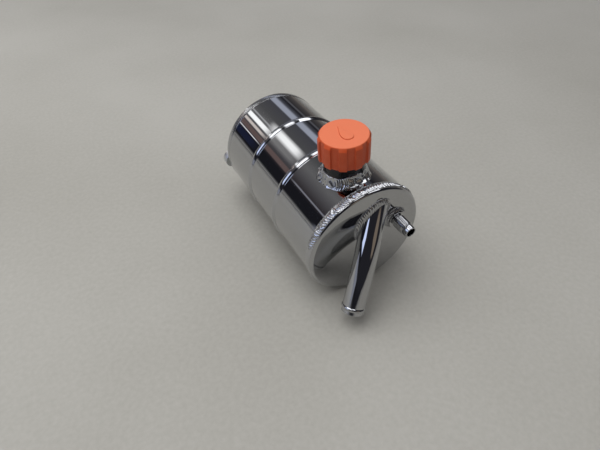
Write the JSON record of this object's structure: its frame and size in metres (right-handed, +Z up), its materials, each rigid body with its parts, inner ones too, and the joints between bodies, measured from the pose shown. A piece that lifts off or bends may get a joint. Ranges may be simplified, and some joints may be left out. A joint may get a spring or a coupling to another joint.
{
  "type": "oil catch can",
  "caption": "Cylindrical polished aluminium oil catch can with swaged beads, ribbed screw filler cap, bent hose tube, flared vent fitting and a rear mounting bar.",
  "frame": {"origin": "midway between the two tapped holes of the rear mounting bar, on the bar's rear face", "axes": "+Y along the can's axis and out of its back, +X to the right seen from the front, +Z up with the filler cap on top"},
  "size_m": [0.132, 0.2649, 0.1727],
  "materials": {
    "polished_aluminium": "mirror polished",
    "weld_aluminium": "rippled weld, polished over",
    "mill_aluminium": "mill finish",
    "orange_plastic": "satin moulded",
    "black_rubber": "matte"
  },
  "bodies": {
    "tank": {"shell": "polished_aluminium", "front_end_cap": "polished_aluminium", "rear_end_cap": "polished_aluminium", "front_seam_weld": "weld_aluminium", "rear_seam_weld": "weld_aluminium", "front_baffle": "mill_aluminium", "rear_baffle": "mill_aluminium", "filler_neck": "polished_aluminium", "neck_weld": "weld_aluminium", "outlet_tube": "polished_aluminium", "tube_weld": "weld_aluminium", "vent_fitting": "polished_aluminium", "fitting_weld": "weld_aluminium", "mounting_bar": "mill_aluminium", "bar_upper_weld": "weld_aluminium", "bar_lower_weld": "weld_aluminium"},
    "seal": {"cap_seal": "black_rubber"},
    "cap": {"filler_cap": "orange_plastic"}
  },
  "joints": [
    {"name": "cap_lift", "type": "slide", "parent": "tank", "child": "seal", "axis": [-0.0872, 0, 0.9962], "range_m": [0, 0.0125]},
    {"name": "cap_turn", "type": "hinge", "parent": "seal", "child": "cap", "pos_m": [-0.00713, -0.1776, 0.09449], "axis": [-0.0872, 0, 0.9962], "range_deg": [0, 900]}
  ],
  "couplings": [
    {"joint": "cap_lift", "follows": "cap_turn", "m_per_rad": 0.00079577}
  ]
}
